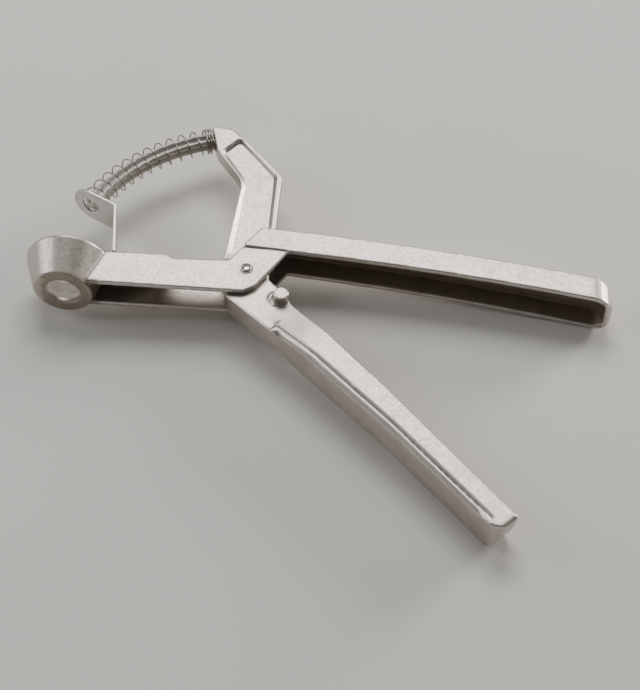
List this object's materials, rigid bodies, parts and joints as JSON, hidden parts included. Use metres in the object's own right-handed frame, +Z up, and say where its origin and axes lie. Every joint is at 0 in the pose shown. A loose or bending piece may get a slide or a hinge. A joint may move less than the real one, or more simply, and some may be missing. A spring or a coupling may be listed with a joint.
{
  "type": "olive pitter",
  "caption": "Hand pliers of cast aluminium that stone an olive: a sprung lever pushes a curved ribbed plunger through a guide plate and into a holed cup.",
  "frame": {"origin": "middle of the tool's footprint, on the table that it lies on", "axes": "+X along the tool, from the cup to the handles' ends; +Y from the moving handle towards the plunger; +Z up, along the pivot pin"},
  "size_m": [0.2002, 0.1665, 0.029],
  "materials": {
    "cast_aluminium": "satin",
    "steel_parts": "satin",
    "spring_wire": "polished"
  },
  "bodies": {
    "body": {"body_casting": "cast_aluminium", "pivot_pin": "steel_parts", "return_spring": "spring_wire", "guide_plate": "steel_parts"},
    "lever": {"lever_casting": "cast_aluminium", "plunger": "steel_parts"}
  },
  "joints": [
    {"name": "lever_hinge", "type": "hinge", "parent": "body", "child": "lever", "pos_m": [-0.02421, 0.01669, 0.0145], "axis": [0, 0, 1], "range_deg": [0, 40], "stiffness_Nm_per_rad": 0.26, "springref_deg": -17.19, "deforming": ["return_spring"]}
  ]
}
